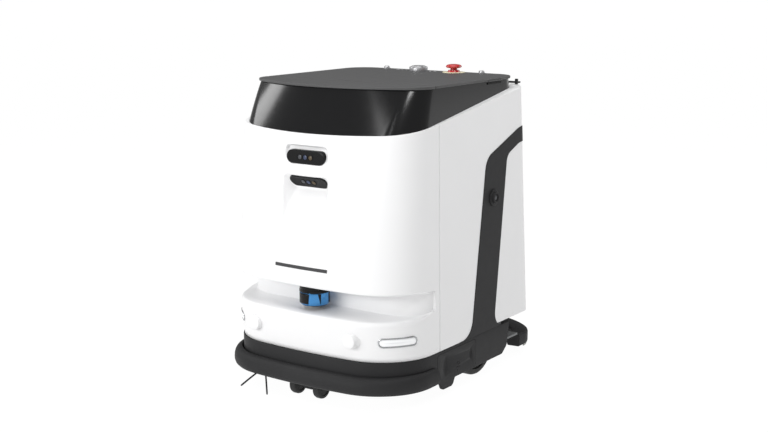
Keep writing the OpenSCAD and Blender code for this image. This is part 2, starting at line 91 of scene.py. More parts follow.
def half_at(z):
    """Half width of the body at height z."""
    return BODY_HALF - SIDE_LEAN * (z - BASE_TOP) / 490


def rear_at(z):
    """Rear face of the body at height z."""
    return lerp(REAR_BOTTOM, REAR_TOP, (z - 130) / 558)


def front_at(z):
    """Front face of the body at height z."""
    z = np.asarray(z, float)
    low = lerp(LOW_BOTTOM, LOW_TOP, (z - BASE_TOP) / (SLOT_Z0 - BASE_TOP))
    gap = lerp(LOW_TOP, UP_BOTTOM, (z - SLOT_Z0) / (SLOT_Z1 - SLOT_Z0))
    high = lerp(UP_BOTTOM, UP_TOP, (z - SLOT_Z1) / (RIM_Z - SLOT_Z1))
    return np.where(z <= SLOT_Z0, low, np.where(z <= SLOT_Z1, gap, high))


def corner_at(z):
    """Front corner radius at height z."""
    z = np.asarray(z, float)
    return np.interp(z, [SLOT_Z0, SLOT_Z1, RIM_Z], [140, 125, 100])


def bow_at(z):
    """Radius of the bowed front at height z."""
    return np.interp(np.asarray(z, float), [SLOT_Z1, RIM_Z], [1360, 620])


def plan_xy(seg, u, a, f, r, rc, rr, bow, y_end=None):
    """Point on the right half of an outline. seg 0 bow, 1 front corner, 2 side, 3 rear corner, 4 rear."""
    cx = a - rc
    cy = f + bow - np.sqrt((bow - rc) ** 2 - cx ** 2)
    turn = np.arcsin(cx / (bow - rc))
    side_end = (r - rr) if y_end is None else y_end
    corner = lerp(turn - math.pi / 2, 0, u)
    rear = u * math.pi / 2
    xs = [bow * np.sin(u * turn), cx + rc * np.cos(corner), a + 0 * u, a - rr + rr * np.cos(rear),
          lerp(a - rr, 0, u)]
    ys = [f + bow - bow * np.cos(u * turn), cy + rc * np.sin(corner), lerp(cy, side_end, u),
          r - rr + rr * np.sin(rear), r + 0 * u]
    return np.select([seg == k for k in range(5)], xs), np.select([seg == k for k in range(5)], ys)


def body_xy(seg, u, z, inset=0.0, y_end=None):
    """Point on the right half of the body's outline."""
    return plan_xy(seg, u, half_at(z) - inset, front_at(z) + inset, rear_at(z) - inset, corner_at(z) - inset,
                   REAR_R - inset, bow_at(z) - inset, y_end)


def stations(counts):
    """Segment numbers and places along them for the right half, from {segment: steps}."""
    seg, u = [], []
    for k, n in counts.items():
        for i in range(n):
            seg.append(k)
            u.append(i / n)
    last = max(counts)
    return np.array(seg + [last]), np.array(u + [1.0])


# ---------------------------------------------------------------- mesh helpers
def to_mesh(name, verts, faces):
    """Object from points in millimetres."""
    verts = np.asarray(verts, float).reshape(-1, 3).copy()
    verts[:, 1] += SHIFT_Y
    mesh = bpy.data.meshes.new(name)
    mesh.from_pydata((verts * MM).tolist(), [], faces)
    mesh.update()
    obj = bpy.data.objects.new(name, mesh)
    bpy.context.scene.collection.objects.link(obj)
    return obj


def tidy(obj, merge=0.01, sharp=35):
    """Merges doubles, turns the faces outward and shades smooth up to the sharp angle."""
    bm = bmesh.new()
    bm.from_mesh(obj.data)
    bmesh.ops.remove_doubles(bm, verts=bm.verts, dist=merge * MM)
    bmesh.ops.dissolve_degenerate(bm, edges=bm.edges, dist=merge * MM)
    bmesh.ops.recalc_face_normals(bm, faces=bm.faces)
    bm.to_mesh(obj.data)
    bm.free()
    obj.data.shade_smooth()
    obj.data.set_sharp_from_angle(angle=math.radians(sharp))
    return obj


def grid_faces(rows, cols, close_rows=False, close_cols=False, start=0):
    """Quads of a grid of points, closed either way round."""
    faces = []
    for i in range(rows if close_rows else rows - 1):
        for j in range(cols if close_cols else cols - 1):
            k, m = (i + 1) % rows, (j + 1) % cols
            near, far = start + i * cols, start + k * cols
            faces.append([near + j, near + m, far + m, far + j])
    return faces


def grid(name, points, close_rows=False, close_cols=False, caps=False):
    """Object from a grid of points."""
    points = np.asarray(points, float)
    rows, cols = points.shape[:2]
    faces = grid_faces(rows, cols, close_rows, close_cols)
    if caps and close_cols:
        faces += [list(range(cols)), list(range((rows - 1) * cols, rows * cols))]
    if caps and close_rows:
        faces += [[i * cols for i in range(rows)], [i * cols + cols - 1 for i in range(rows)]]
    return tidy(to_mesh(name, points, faces))


def mirrored(half):
    """Right half columns, from the middle outward, to the whole row from left to right."""
    left = half[:, :0:-1].copy()
    left[..., 0] *= -1
    return np.concatenate([left, half], 1)


def apply_modifiers(obj):
    """Bakes an object's modifiers into its mesh."""
    depsgraph = bpy.context.evaluated_depsgraph_get()
    mesh = bpy.data.meshes.new_from_object(obj.evaluated_get(depsgraph))
    obj.modifiers.clear()
    obj.data = mesh
    return obj


def boolean(obj, other, operation):
    """Cuts obj with other at once."""
    mod = obj.modifiers.new("cut", "BOOLEAN")
    mod.object, mod.operation, mod.solver = other, operation, "EXACT"
    return apply_modifiers(obj)


def drop(*objs):
    """Deletes helper objects."""
    for obj in objs:
        bpy.data.objects.remove(obj, do_unlink=True)


def bevel(obj, width, angle=40, segments=3):
    """Rounds the sharp edges."""
    mod = obj.modifiers.new("bevel", "BEVEL")
    mod.width, mod.segments, mod.limit_method = width * MM, segments, "ANGLE"
    mod.angle_limit = math.radians(angle)
    mod.harden_normals = False
    return obj


def prism_x(name, outline, x0, x1):
    """Outline in y and z, drawn out along X."""
    n = len(outline)
    verts = [(x, p[0], p[1]) for x in (x0, x1) for p in outline]
    faces = [list(range(n)), list(range(n, 2 * n))[::-1]]
    faces += [[i, (i + 1) % n, n + (i + 1) % n, n + i] for i in range(n)]
    return tidy(to_mesh(name, verts, faces))


def prism_z(name, outline, z0, z1):
    """Outline in x and y, drawn out along Z."""
    n = len(outline)
    verts = [(p[0], p[1], z) for z in (z0, z1) for p in outline]
    faces = [list(range(n))[::-1], list(range(n, 2 * n))]
    faces += [[i, (i + 1) % n, n + (i + 1) % n, n + i] for i in range(n)]
    return tidy(to_mesh(name, verts, faces))


def rounded(rows, steps=12):
    """Polygon with rounded corners from (x, y, radius) rows."""
    out = []
    for i, (x, y, r) in enumerate(rows):
        p = np.array([x, y], float)
        if r <= 0:
            out.append(p)
            continue
        a, b = np.array(rows[i - 1][:2], float), np.array(rows[(i + 1) % len(rows)][:2], float)
        ua, ub = (a - p) / np.linalg.norm(a - p), (b - p) / np.linalg.norm(b - p)
        half = math.acos(float(np.clip(ua @ ub, -1, 1))) / 2
        centre = p + (ua + ub) / np.linalg.norm(ua + ub) * r / math.sin(half)
        start, end = p + ua * r / math.tan(half) - centre, p + ub * r / math.tan(half) - centre
        full = math.pi - 2 * half
        for k in range(steps + 1):
            t = k / steps
            swing = start * math.sin((1 - t) * full) + end * math.sin(t * full)
            out.append(centre + swing / math.sin(full))
    return out


def lathe(name, profile, centre, axis="Z", steps=64, squash=(1, 1)):
    """Profile rows of (radius, height) turned about an axis; a ring when it stays off the axis."""
    t = np.linspace(0, 2 * math.pi, steps, endpoint=False)
    rows = []
    for r, h in profile:
        u, v, w = r * np.cos(t) * squash[0], r * np.sin(t) * squash[1], np.full(steps, float(h))
        parts = {"Z": (u, v, w), "-Z": (u, v, -w), "Y": (u, w, v), "-Y": (u, -w, v), "X": (w, u, v),
                 "-X": (-w, u, v)}
        rows.append(np.stack(parts[axis], 1) + np.array(centre, float))
    ring = profile[0][0] > 0 and profile[-1][0] > 0
    return grid(name, np.array(rows), close_rows=ring, close_cols=True, caps=not ring)


def tube(name, path, radius, closed=False, sides=12):
    """Round section swept along points."""
    path = np.asarray(path, float)
    n = len(path)
    ahead = np.roll(path, -1, 0) if closed else np.vstack([path[1:], path[-1:]])
    behind = np.roll(path, 1, 0) if closed else np.vstack([path[:1], path[:-1]])
    tangent = ahead - behind
    tangent /= np.linalg.norm(tangent, axis=1)[:, None]
    ref = np.array([0.13, 0.21, 0.97])
    side = np.cross(tangent, ref)
    side /= np.linalg.norm(side, axis=1)[:, None]
    up = np.cross(side, tangent)
    t = np.linspace(0, 2 * math.pi, sides, endpoint=False)
    radii = np.broadcast_to(np.asarray(radius, float), (n,))
    spoke = side[:, None] * np.cos(t)[:, None] + up[:, None] * np.sin(t)[:, None]
    rings = path[:, None] + radii[:, None, None] * spoke
    return grid(name, rings, close_rows=closed, close_cols=True, caps=not closed)


def join(name, objs):
    """Several plain meshes as one object."""
    bm = bmesh.new()
    for obj in objs:
        apply_modifiers(obj)
        bm.from_mesh(obj.data)
    mesh = bpy.data.meshes.new(name)
    bm.to_mesh(mesh)
    bm.free()
    mesh.shade_smooth()
    mesh.set_sharp_from_angle(angle=math.radians(35))
    drop(*objs)
    obj = bpy.data.objects.new(name, mesh)
    bpy.context.scene.collection.objects.link(obj)
    return obj


# ---------------------------------------------------------------- materials
def new_material(name):
    """Empty node material with its shader."""
    mat = bpy.data.materials.new(name)
    mat.use_nodes = True
    nodes = mat.node_tree.nodes
    return mat, nodes, mat.node_tree.links, nodes["Principled BSDF"]


def noise_node(nodes, links, coord, scale, detail=3.0, stretch=(1, 1, 1)):
    """Noise in object coordinates."""
    mapping = nodes.new("ShaderNodeMapping")
    mapping.inputs["Scale"].default_value = stretch
    tex = nodes.new("ShaderNodeTexNoise")
    tex.inputs["Scale"].default_value = scale
    tex.inputs["Detail"].default_value = detail
    links.new(coord.outputs["Object"], mapping.inputs["Vector"])
    links.new(mapping.outputs["Vector"], tex.inputs["Vector"])
    return tex


def surface(name, colour, rough, grain=900.0, relief=0.05, mottle=0.05, metallic=0.0, coat=0.0,
            stretch=(1, 1, 1), rough_spread=0.06, specular=0.5, emission=None):
    """Moulded or metal surface: cloudy tone, uneven gloss and a fine grain in the bump."""
    mat, nodes, links, bsdf = new_material(name)
    coord = nodes.new("ShaderNodeTexCoord")
    cloud = noise_node(nodes, links, coord, 9.0, 4.0)
    ramp = nodes.new("ShaderNodeValToRGB")
    dark = [c * (1 - mottle) for c in colour]
    light = [min(1.0, c * (1 + mottle)) for c in colour]
    ramp.color_ramp.elements[0].position, ramp.color_ramp.elements[0].color = 0.3, (*dark, 1)
    ramp.color_ramp.elements[1].position, ramp.color_ramp.elements[1].color = 0.7, (*light, 1)
    links.new(cloud.outputs["Fac"], ramp.inputs["Fac"])
    links.new(ramp.outputs["Color"], bsdf.inputs["Base Color"])
    streak = noise_node(nodes, links, coord, 60.0, 5.0, stretch)
    spread = nodes.new("ShaderNodeMapRange")
    spread.inputs["To Min"].default_value = max(0.0, rough - rough_spread)
    spread.inputs["To Max"].default_value = min(1.0, rough + rough_spread)
    links.new(streak.outputs["Fac"], spread.inputs["Value"])
    links.new(spread.outputs["Result"], bsdf.inputs["Roughness"])
    fine = noise_node(nodes, links, coord, grain, 2.0, stretch)
    bump = nodes.new("ShaderNodeBump")
    bump.inputs["Strength"].default_value = relief
    bump.inputs["Distance"].default_value = 0.0004
    links.new(fine.outputs["Fac"], bump.inputs["Height"])
    links.new(bump.outputs["Normal"], bsdf.inputs["Normal"])
    bsdf.inputs["Metallic"].default_value = metallic
    bsdf.inputs["Coat Weight"].default_value = coat
    bsdf.inputs["Coat Roughness"].default_value = 0.04
    bsdf.inputs["Specular IOR Level"].default_value = specular
    if emission:
        bsdf.inputs["Emission Color"].default_value = (*emission[0], 1)
        bsdf.inputs["Emission Strength"].default_value = emission[1]
    return mat


MATS = {
    "white_cover": surface("white_cover", (0.86, 0.86, 0.865), 0.42, 1400, 0.03, 0.008, coat=0.12),
    "matte_dark": surface("matte_dark", (0.025, 0.025, 0.026), 0.55, 1600, 0.2, 0.06, rough_spread=0.05,
                          specular=0.16),
    "visor_gloss": surface("visor_gloss", (0.005, 0.005, 0.0055), 0.17, 500, 0.0, 0.1, rough_spread=0.02,
                           specular=0.5),
    "lid_dark": surface("lid_dark", (0.070, 0.070, 0.071), 0.5, 1800, 0.2, 0.04, rough_spread=0.05,
                        specular=0.35),
    "steel": surface("steel", (0.46, 0.46, 0.47), 0.42, 700, 0.08, 0.04, metallic=0.75, stretch=(1, 14, 1)),
    "chrome": surface("chrome", (0.50, 0.51, 0.52), 0.2, 500, 0.02, 0.03, metallic=1.0, rough_spread=0.05),
    "light_lens": surface("light_lens", (0.86, 0.87, 0.88), 0.3, 500, 0.05, 0.02, coat=0.5,
                          emission=((1, 1, 1), 0.12)),
    "camera_black": surface("camera_black", (0.004, 0.004, 0.0045), 0.26, 800, 0.0, 0.1, specular=0.2),
    "lens_glass": surface("lens_glass", (0.05, 0.053, 0.06), 0.3, 500, 0.0, 0.2),
    "ring_blue": surface("ring_blue", (0.045, 0.21, 0.48), 0.14, 500, 0.0, 0.10, metallic=0.75, coat=0.3,
                         emission=((0.10, 0.42, 0.85), 0.10)),
    "stop_red": surface("stop_red", (0.50, 0.012, 0.012), 0.3, 700, 0.05, 0.05, coat=0.5),
    "legend_yellow": surface("legend_yellow", (0.78, 0.74, 0.52), 0.45, 700, 0.05, 0.04),
    "rubber_dark": surface("rubber_dark", (0.026, 0.026, 0.027), 0.6, 1300, 0.2, 0.06, specular=0.16),
    "tyre_dark": surface("tyre_dark", (0.012, 0.012, 0.012), 0.7, 700, 0.4, 0.1),
    "bristle": surface("bristle", (0.02, 0.02, 0.022), 0.5, 600, 0.2, 0.15, stretch=(1, 1, 5)),
    "tank": surface("tank", (0.42, 0.48, 0.53), 0.35, 500, 0.08, 0.05, coat=0.2),
    "metal_frame": surface("metal_frame", (0.16, 0.165, 0.17), 0.45, 900, 0.25, 0.08, metallic=0.2),
    "copper_alloy": surface("copper_alloy", (0.72, 0.50, 0.22), 0.28, 700, 0.08, 0.06, metallic=1.0,
                            stretch=(1, 1, 12)),
}
GROOVE = surface("groove_dark", (0.004, 0.004, 0.004), 0.8, 900, 0.1, 0.1)
BLADE = surface("blade_grey", (0.42, 0.42, 0.40), 0.5, 900, 0.15, 0.06)
AMBER = surface("lens_amber", (0.075, 0.05, 0.02), 0.3, 500, 0.0, 0.2)
BLUISH = surface("lens_blue", (0.03, 0.045, 0.10), 0.3, 500, 0.0, 0.2)
MARK = surface("mark_grey", (0.035, 0.035, 0.037), 0.4, 900, 0.05, 0.04)


def place(obj, body, slot, replaces=(), material=None):
    """Gives a piece the material of its slot, or the material passed in, puts it under its body and hides the
    nodes it replaces.
    """
    obj.data.materials.clear()
    obj.data.materials.append(material or MATS[slot])
    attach(obj, body)
    if replaces:
        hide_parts(*replaces)
    return obj


slot_of = {row["node"]: row["material_slot"] for row in frame["record"]["subparts"]}
for node_name, node_obj in NODES.items():
    mat = MATS[slot_of[node_name]]
    if node_obj.material_slots:
        for mslot in node_obj.material_slots:
            mslot.material = mat
    else:
        node_obj.data.materials.append(mat)


# ---------------------------------------------------------------- white covers
def camera_pockets(x, z):
    """Depth of the two camera pockets in the upper front."""
    ax = np.abs(x)
    qx, qz = ax - (61 - 15), np.abs(z - 560) - (28 - 15)
    box = np.hypot(np.maximum(qx, 0), np.maximum(qz, 0)) + np.minimum(np.maximum(qx, qz), 0) - 15
    upper = 9.0 * smooth((z - 536) / 46) * smooth(-box / 6)
    ramp = 27.0 * np.clip((z - 404) / 82, 0, 1) ** 1.15
    plate = 3.0 + np.clip((520 - z) / 34, 0, 1) * 24.0
    corner = np.hypot(np.maximum(ax - 51, 0), np.maximum(z - 506, 0)) - 14
    walls = np.clip((65 - ax) * 1.15, 0, 60)
    lid = np.clip(-corner * 2.2, 0, 60)
    k = 2.5
    depths = np.stack([np.where(z < 486, ramp, plate), walls, lid])
    low = depths.min(0)
    soft = low - k * np.log(np.exp(-(depths - low) / k).sum(0))
    lower = np.where(low > 0, np.maximum(soft, 0) * smooth(low / 3), 0)
    return upper + lower


def slot_wall(t):
    """Back wall of the sensor slot, t from 0 in the middle to 1 at its end."""
    straight, end_x, wall_y = 155.0, 251.0, -200.0
    flat = 0.52
    a = np.clip((t - flat) / (1 - flat), 0, 1) * math.pi / 2
    x = np.where(t < flat, straight * t / flat, straight + (end_x - straight) * np.sin(a))
    y = np.where(t < flat, wall_y, SLOT_END_Y + (wall_y - SLOT_END_Y) * np.cos(a))
    return x, y


def front_shell():
    """Front cover in one sweep: lower front, sensor slot and upper front."""
    seg, u = stations({0: 74, 1: 46, 2: 16})
    n = len(seg)
    strip = 5
    seg = np.concatenate([seg, np.full(strip, 2)])
    u = np.concatenate([u, np.ones(strip)])
    y_end = np.concatenate([np.full(n, SLOT_END_Y), np.linspace(SLOT_END_Y, SEAM_Y - 0.5, strip + 1)[1:]])
    px, py = body_xy(seg, u, np.full(seg.shape, 235.0), y_end=y_end)
    along = np.concatenate([[0], np.cumsum(np.hypot(np.diff(px[:n]), np.diff(py[:n])))])
    t = np.concatenate([along / along[-1], np.ones(strip)])
    end = smooth((t - 0.80) / 0.20)
    z_low, z_high = lerp(SLOT_Z0, 213.0, end), lerp(SLOT_Z1, 258.0, end)
    wall_x, wall_y = slot_wall(t)
    rows = []

    def outer_row(z, shrink=0.0):
        """Row of points on the outer face."""
        x, y = body_xy(seg, u, z, shrink, y_end=y_end)
        return np.stack([x, y, z + 0 * x], 1)

    def inward(z_edge, z, frac_or_mm):
        """Row between the outer face at z_edge and the slot's back wall; mm where 1 or more, else a share."""
        edge = outer_row(z_edge)
        wall = np.stack([np.where(t >= 1, edge[:, 0], wall_x), np.where(t >= 1, edge[:, 1], wall_y)], 1)
        d = np.linalg.norm(wall - edge[:, :2], axis=1)
        share = np.minimum(frac_or_mm / np.maximum(d, 1e-6), 0.5) if frac_or_mm >= 1 else frac_or_mm + 0 * d
        share = np.where(d < 1e-3, 0, share)
        xy = edge[:, :2] + (wall - edge[:, :2]) * share[:, None]
        return np.stack([xy[:, 0], xy[:, 1], z + 0 * d], 1)

    depth_soft = smooth((1 - t) / 0.30)
    for z in np.linspace(BASE_TOP + 0.6, SLOT_Z0 - 12, 9):
        rows.append(outer_row(np.full(seg.shape, z)))
    r_low = 1.0 + 8.0 * depth_soft
    for a in np.linspace(0, math.pi / 2, 6):
        z = z_low - r_low * (1 - math.sin(a))
        mm = 1.001 + 8.0 * (1 - math.cos(a))
        rows.append(inward(z_low - r_low, z, mm) if a > 0 else outer_row(z))
    for share in (0.25, 0.5, 0.75, 0.9):
        rows.append(inward(z_low - r_low, z_low, share))
    rise = (z_high - z_low) * 0.14
    rows.append(inward(z_low, z_low + rise * 0.25, 0.975))
    rows.append(inward(z_low, z_low + rise, 0.999999))
    rows.append(inward(z_low, lerp(z_low, z_high, 0.5), 0.999999))
    rows.append(inward(z_high, z_high - rise, 0.999999))
    rows.append(inward(z_high, z_high - rise * 0.25, 0.975))
    r_high = 1.0 + 4.0 * depth_soft
    for share in (0.9, 0.6, 0.3):
        rows.append(inward(z_high + r_high, z_high, share))
    for a in np.linspace(0, math.pi / 2, 5):
        z = z_high + r_high * (1 - math.cos(a))
        mm = 1.001 + 4.0 * (1 - math.sin(a))
        rows.append(inward(z_high + r_high, z, mm) if a < math.pi / 2 - 1e-6 else outer_row(z))
    rim_y = outer_row(np.full(seg.shape, RIM_Z))[:, 1]
    z_rim = RIM_Z + RIM_SLOPE * (rim_y - RIM_Y)
    z_start = z_high + r_high
    steps = 150
    for k in range(1, steps + 1):
        z = lerp(z_start, z_rim, k / steps)
        row = outer_row(z)
        row[:, 1] += camera_pockets(row[:, 0], z) * (seg == 0)
        rows.append(row)
    shell = grid("front_shell", mirrored(np.array(rows)))
    solid = shell.modifiers.new("wall", "SOLIDIFY")
    solid.thickness, solid.offset, solid.use_even_offset = 2.4 * MM, -1, False
    return shell


def body_ring(name, z0, z1, outset, inset, rows=14, rim=True):
    """Closed wall of the body behind the seam, from z0 to z1 or to the sloping rim."""
    seg, u = stations({2: 20, 3: 20, 4: 30})
    y0 = SEAM_Y + 0.5
    out = []
    for shift in (outset, -inset):
        face = []
        for k in range(rows + 1):
            z = np.full(seg.shape, lerp(z0, z1, k / rows))
            for _ in range(3):
                x, y = body_xy(seg, u, z, -shift)
                y = np.where(seg == 2, lerp(y0, rear_at(z) - REAR_R, u), y)
                if rim:
                    top = RIM_Z + RIM_SLOPE * (y - RIM_Y)
                    z = lerp(z0, top, k / rows)
            face.append(np.stack([x, y, z], 1))
        out.append(np.array(face))
    outer, inner = mirrored_open(out[0]), mirrored_open(out[1])
    loop = np.concatenate([outer, inner[::-1]], 0)
    return grid(name, loop, close_rows=True, caps=True)


def mirrored_open(half):
    """Right half columns, from the seam round to the middle of the rear, to the whole row."""
    left = half[:, -2::-1].copy()
    left[..., 0] *= -1
    return np.concatenate([half, left], 1)


STRAP = [(-20, 111.5, 0), (32.7, 111.5, 48), (101.8, 533.5, 45), (262, 593.5, 60), (420, 593.5, 0),
         (420, 556.5, 0), (262, 556.5, 60), (199.6, 531.7, 30), (137.4, 111.5, 35), (217, 111.5, 0),
         (217, 90, 0), (-20, 90, 0)]


def grow(outline, d):
    """Outline pushed outward by d."""
    pts = np.array(outline)
    ahead, behind = np.roll(pts, -1, 0), np.roll(pts, 1, 0)
    t = ahead - behind
    length = np.maximum(np.linalg.norm(t, axis=1), 1e-9)[:, None]
    area = np.sum(pts[:, 0] * ahead[:, 1] - ahead[:, 0] * pts[:, 1])
    n = np.stack([t[:, 1], -t[:, 0]], 1) / length * (1 if area > 0 else -1)
    return (pts + n * d).tolist()


def covers():
    """White covers with the groove for the straps, and the straps."""
    place(front_shell(), "root", "white_cover", ("front_cover", "slot_liner"))
    profile = rounded(STRAP)
    cutter = prism_x("strap_cut", grow(profile, 0.7), -SPAN, SPAN)
    zone = prism_x("zone", [(80, 80), (150, 520), (262, 575), (500, 575), (500, 80)], -SPAN, SPAN)
    main = body_ring("main_shell", BASE_TOP + 0.6, 700, 0, WALL)
    rear = body_ring("rear_shell", BASE_TOP + 8, 700, 0, WALL)
    boolean(main, zone, "DIFFERENCE")
    boolean(main, cutter, "DIFFERENCE")
    boolean(rear, zone, "INTERSECT")
    boolean(rear, cutter, "DIFFERENCE")
    for obj, node in ((main, "main_cover"), (rear, "rear_cover")):
        tidy(obj, 0.02, 30)
        bevel(obj, 0.9, 40, 2)
        place(obj, "root", "white_cover", (node,))
    band = body_ring("strap_band", 90, 640, 1.4, 5.0, rim=False)
    body = prism_x("strap_body", profile, -SPAN, SPAN)
    floor = prism_x("strap_floor", [(-100, 0), (400, 0), (400, BASE_TOP + 0.3), (-100, BASE_TOP + 0.3)],
                    -SPAN, SPAN)
    boolean(band, body, "INTERSECT")
    boolean(band, floor, "DIFFERENCE")
    tidy(band, 0.02, 30)
    bevel(band, 1.4, 40, 3)
    place(band, "root", "matte_dark", ("strap_left", "strap_right", "rear_band"))
    drop(cutter, zone, body, floor)


# ---------------------------------------------------------------- visor and top
def visor_xy(seg, u, z, inset=0.0):
    """Outline of the visor at height z."""
    t = (z - RIM_Z) / (VISOR_TOP - RIM_Z)
    return plan_xy(seg, u, lerp(246.5, 238, t) - inset, lerp(-261.5, -222, t) + inset,
                   lerp(276, 268, t) - inset, lerp(97, 66, t) - inset, 58 - inset,
                   lerp(600, 430, t) - inset)


def visor():
    """Gloss ring that leans in from the covers' rim to the flat top."""
    seg, u = stations({0: 60, 1: 40, 2: 24, 3: 24, 4: 24})
    faces = []
    rows = 24
    for inset in (0.0, 3.0):
        face = []
        for k in range(rows + 1):
            z = np.full(seg.shape, RIM_Z)
            for _ in range(4):
                x, y = visor_xy(seg, u, z, inset)
                foot = RIM_Z - 5 + RIM_SLOPE * (y - RIM_Y)
                z = lerp(foot, VISOR_TOP, k / rows)
            face.append(np.stack([x, y, z], 1))
        half = np.array(face)
        whole = np.concatenate([half, (half * [-1, 1, 1])[:, -2:0:-1]], 1)
        faces.append(whole)
    loop = np.concatenate([faces[0], faces[1][::-1]], 0)
    obj = grid("visor_shell", loop, close_rows=True, close_cols=True)
    place(obj, "root", "visor_gloss", ("visor",))


def rim_lip():
    """White lip that closes the gap between the covers' rim and the visor."""
    seg, u = stations({0: 60, 1: 40, 2: 24, 3: 24, 4: 24})
    z = np.full(seg.shape, RIM_Z)
    for _ in range(4):
        ox, oy = body_xy(seg, u, z)
        z = RIM_Z + RIM_SLOPE * (oy - RIM_Y)
    ix, iy = visor_xy(seg, u, z)
    rows = []
    for share, dz in ((0.05, -1.8), (0.05, -0.3), (0.22, 0.5), (1.1, 0.5), (1.1, -1.8)):
        rows.append(np.stack([lerp(ox, ix, share), lerp(oy, iy, share), z + dz], 1))
    half = np.array(rows)
    whole = np.concatenate([half, (half * [-1, 1, 1])[:, -2:0:-1]], 1)
    place(grid("rim_lip", whole, close_rows=True, close_cols=True), "root", "white_cover")


def top_outline():
    """Outline of the flat top."""
    seg, u = stations({0: 40, 1: 40, 2: 4, 3: 24, 4: 2})
    x, y = plan_xy(seg, u, 242.0, -227.0, 272.0, 66.0, 60.0, 430.0)
    return np.concatenate([np.stack([x, y], 1), np.stack([-x, y], 1)[-2:0:-1]], 0)


def clip_y(points, y, keep_front):
    """Closed outline cut by a line across it."""
    out = []
    n = len(points)
    for i in range(n):
        a, b = points[i], points[(i + 1) % n]
        inside_a, inside_b = (a[1] <= y) == keep_front, (b[1] <= y) == keep_front
        if inside_a:
            out.append(tuple(a))
        if inside_a != inside_b:
            t = (y - a[1]) / (b[1] - a[1])
            out.append(tuple(a + (b - a) * t))
    return out


def top_panels():
    """Fixed front panel and hinged lid."""
    outline = top_outline()
    front = prism_z("front_panel", clip_y(outline, SEAM_Y - 3.4, True), TOP_Z - PANEL_T, TOP_Z)
    bevel(front, 1.4, 40, 3)
    place(front, "root", "lid_dark", ("top_front_panel",))
    lid = prism_z("lid_panel", clip_y(outline, SEAM_Y + 0.4, False), TOP_Z - PANEL_T, TOP_Z)
    bevel(lid, 1.4, 40, 3)
    place(lid, "lid", "lid_dark", ("top_lid",))
    # grip lip with its dark finger slot, on the right edge of the lid
    lip = prism_z("grip_lip", rounded([(236, 120, 3), (244.5, 123, 2), (244.5, 186, 2), (236, 189, 3)], 4),
                  TOP_Z - PANEL_T - 0.4, TOP_Z - PANEL_T + 1.6)
    bevel(lip, 0.5)
    place(lip, "lid", "lid_dark")
    slot = prism_x("finger_slot", rounded([(123, 706.5, 2), (186, 706.5, 2), (186, 711.5, 2),
                                           (123, 711.5, 2)], 5), 234, 240.6)
    place(slot, "root", "camera_black", (), GROOVE)


def controls():
    """Emergency stop, power button and the small caps on the lid."""
    z = TOP_Z
    stop = [(0, z + 21), (8, z + 20.8), (13.5, z + 20), (17.6, z + 18.4), (19.6, z + 16.4), (20, z + 14.6),
            (19.2, z + 13), (17, z + 11.6), (13, z + 11), (8.6, z + 11), (8.6, z + 4.4)]
    place(lathe("stop_head", stop[::-1], (STOP_X, CONTROLS_Y, 0)), "stop_button", "stop_red",
          ("stop_button",))
    collar = [(9.0, z + 0.2), (16.6, z + 0.2), (15.4, z + 2.6), (14.4, z + 4.8), (14.0, z + 6), (9.0, z + 6)]
    place(lathe("stop_neck", collar, (STOP_X, CONTROLS_Y, 0)), "lid", "stop_red", ("stop_collar",))
    legend = [(16.7, z - 0.2), (29, z - 0.2), (29, z + 0.9), (28.2, z + 1.3), (16.7, z + 1.3)]
    place(lathe("stop_legend", legend, (STOP_X, CONTROLS_Y, 0)), "lid", "legend_yellow")
    bezel = [(18.8, z), (23.3, z), (23.5, z + 1), (23.5, z + 8.5), (22.8, z + 9.8), (21.2, z + 10.2),
             (19.4, z + 10.0), (18.9, z + 9.4)]
    place(lathe("power_ring", bezel, (POWER_X, CONTROLS_Y, 0)), "lid", "steel", ("power_bezel",))
    cap = [(8, z + 2.8), (8, z + 4.5), (18.4, z + 4.5), (18.4, z + 11.2), (17.6, z + 12.4), (15, z + 12.9),
           (0, z + 12.4)]
    place(lathe("power_cap", cap, (POWER_X, CONTROLS_Y, 0)), "power_button", "steel", ("power_button",))
    for side in (-1, 1):
        foot = [(0, z), (9.4, z), (9.6, z + 1.2), (7.4, z + 2.2), (7.0, z + 5), (5, z + 7), (0, z + 7.6)]
        place(lathe("lid_cap_%d" % side, foot, (side * 143, 258, 0)), "lid", "steel",
              ("lid_caps",) if side < 0 else ())
    for k, (dx, w) in enumerate([(-62, 8), (-50, 5), (-36, 3), (36, 4), (50, 7)]):
        bar = prism_z("print_%d" % k, rounded([(POWER_X + dx - w / 2, 243, 0.6),
                                               (POWER_X + dx + w / 2, 243, 0.6),
                                              (POWER_X + dx + w / 2, 246, 0.6), (POWER_X + dx - w / 2, 246,
                                                                                 0.6)], 3), z, z + 0.25)
        # The print bars take the lens material, whose faint white emission makes this print glow: a painted
        # glow, since print is no lamp.
        place(bar, "lid", "light_lens")


# ---------------------------------------------------------------- front details
def pill(name, w, h, depth, edge=2.0):
    """Flat plate with round ends, facing -Y, with a rounded front edge."""
    n = 24
    a = np.linspace(-math.pi / 2, math.pi / 2, n)
    rows = []
    for shrink, y in ((0, depth), (0, edge), (edge * 0.3, edge * 0.3), (edge, 0.0), (edge + 2, 0.25)):
        r = h / 2 - shrink
        right = np.stack([(w - h) / 2 + r * np.cos(a), np.full(n, y), r * np.sin(a)], 1)
        rows.append(np.concatenate([right, right * [-1, 1, -1]], 0))
    return grid(name, np.array(rows), close_cols=True, caps=True)


def move(obj, offset, tilt=0.0):
    """Turns about the model's X axis and shifts, before the piece is given a body."""
    obj.data.transform(Matrix.Translation((0, -SHIFT_Y * MM, 0)))
    obj.data.transform(Matrix.Rotation(math.radians(tilt), 4, "X"))
    obj.data.transform(Matrix.Translation(Vector((offset[0], offset[1] + SHIFT_Y, offset[2])) * MM))
    return obj


